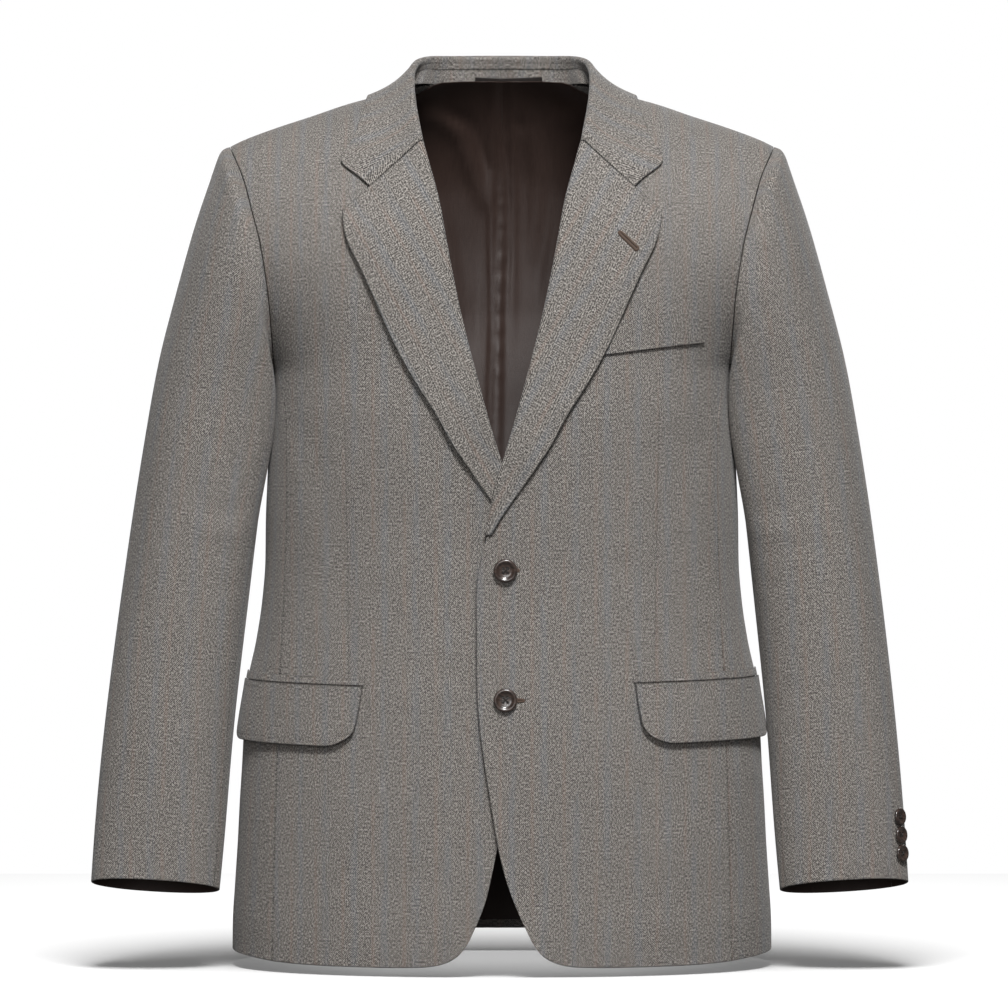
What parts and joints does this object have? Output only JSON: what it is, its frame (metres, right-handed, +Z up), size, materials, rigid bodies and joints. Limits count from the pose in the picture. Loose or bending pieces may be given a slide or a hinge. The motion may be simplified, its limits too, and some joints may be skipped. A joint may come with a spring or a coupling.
{
  "type": "wool suit jacket",
  "caption": "Single-breasted suit jacket of herringbone wool, worn and hollow, with notch lapels, flap pockets, breast welt, horn buttons and a lined back.",
  "frame": {"origin": "where the wearer's neck holds the jacket: on the centre line, level with the side neck points, under the shoulder seams", "axes": "+Z up along the standing wearer, the front faces -Y, +X is the wearer's left"},
  "size_m": [0.7276, 0.2669, 0.8127],
  "materials": {
    "suiting": "matt woven wool herringbone with faint rust and blue-grey stripes",
    "lining": "smooth dark brown twill with a soft sheen",
    "horn": "polished dark brown horn"
  },
  "bodies": {
    "root": {"back_left": "suiting", "back_lining": "lining", "back_right": "suiting", "chest_welt": "suiting", "collar": "suiting", "collar_stand": "suiting", "cuff_button_left_1": "horn", "cuff_button_left_2": "horn", "cuff_button_left_3": "horn", "cuff_button_right_1": "horn", "cuff_button_right_2": "horn", "cuff_button_right_3": "horn", "front_button_lower": "horn", "front_button_upper": "horn", "front_left": "suiting", "front_right": "suiting", "hanger_loop": "lining", "lapel_left": "suiting", "lapel_right": "suiting", "pocket_flap_left": "suiting", "pocket_flap_right": "suiting", "pocket_jet_left": "suiting", "pocket_jet_right": "suiting", "side_left": "suiting", "side_right": "suiting", "sleeve_top_left": "suiting", "sleeve_top_right": "suiting", "sleeve_under_left": "suiting", "sleeve_under_right": "suiting"}
  },
  "joints": []
}
